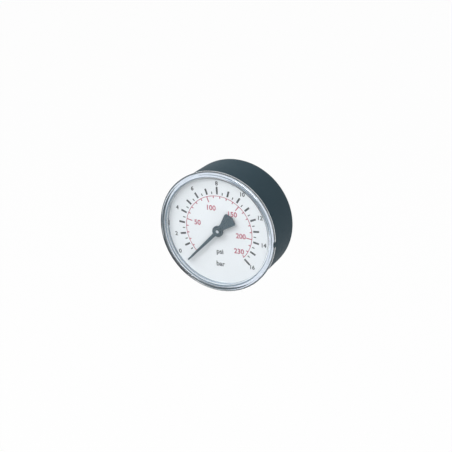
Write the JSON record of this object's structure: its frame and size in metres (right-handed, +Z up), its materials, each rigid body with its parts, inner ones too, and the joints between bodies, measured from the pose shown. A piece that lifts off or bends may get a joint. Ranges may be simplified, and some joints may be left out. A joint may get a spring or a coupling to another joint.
{
  "type": "pressure gauge",
  "caption": "Round dial pressure gauge with a black moulded case, clear snap-in window, Bourdon tube movement, pointer and a threaded centre-back stem.",
  "frame": {"origin": "on the gauge's axis, at the shoulder where the stem's thread meets the wrench square", "axes": "+Z up on the dial, +Y backwards along the stem, +X to the right of a viewer who reads the dial"},
  "size_m": [0.062, 0.0497, 0.062],
  "materials": {
    "black_plastic": "fine moulded grain",
    "clear_plastic": "clear, polished",
    "dial_white": "matt, printed",
    "pointer_black": "satin",
    "brass": "machined",
    "bronze": "drawn",
    "bright_steel": "turned",
    "zinc_steel": "zinc plated"
  },
  "bodies": {
    "housing": {"case": "black_plastic", "window": "clear_plastic", "dial": "dial_white", "stem": "brass", "bourdon_tube": "bronze", "hairspring": "bronze", "hairspring_stud": "brass", "back_plate": "brass", "front_plate": "brass", "plate_pillars": "brass", "plate_screws": "bright_steel", "movement_screws": "bright_steel", "case_screws": "zinc_steel"},
    "pointer_spindle": {"pointer": "pointer_black", "pointer_bush": "pointer_black", "pinion": "bright_steel", "hairspring_collet": "brass"},
    "sector": {"sector_gear": "brass", "sector_arbor": "bright_steel"},
    "tube_tip": {"tube_end_piece": "brass", "tip_pin": "bright_steel"},
    "link": {"link": "brass", "link_pin": "bright_steel"}
  },
  "joints": [
    {"name": "tip_travel", "type": "slide", "parent": "housing", "child": "tube_tip", "axis": [0.4226, 0, 0.9063], "range_m": [0, 0.00267], "stiffness_N_per_m": 1500, "deforming": ["bourdon_tube"]},
    {"name": "link_pivot", "type": "hinge", "parent": "tube_tip", "child": "link", "pos_m": [0.02045, -0.0185, -0.00664], "axis": [0, 1, 0], "range_deg": [0, 2.88]},
    {"name": "sector_swing", "type": "hinge", "parent": "housing", "child": "sector", "pos_m": [0.00923, -0.0185, -0.01182], "axis": [0, 1, 0], "range_deg": [-30, 0]},
    {"name": "pointer_turn", "type": "hinge", "parent": "housing", "child": "pointer_spindle", "pos_m": [0, -0.02, 0], "axis": [0, 1, 0], "range_deg": [0, 270], "stiffness_Nm_per_rad": 0.000001, "deforming": ["hairspring"]}
  ],
  "couplings": [
    {"joint": "link_pivot", "follows": "tip_travel", "rad_per_m": 18.841},
    {"joint": "sector_swing", "follows": "tip_travel", "rad_per_m": -196.4},
    {"joint": "pointer_turn", "follows": "tip_travel", "rad_per_m": 1767.6}
  ]
}
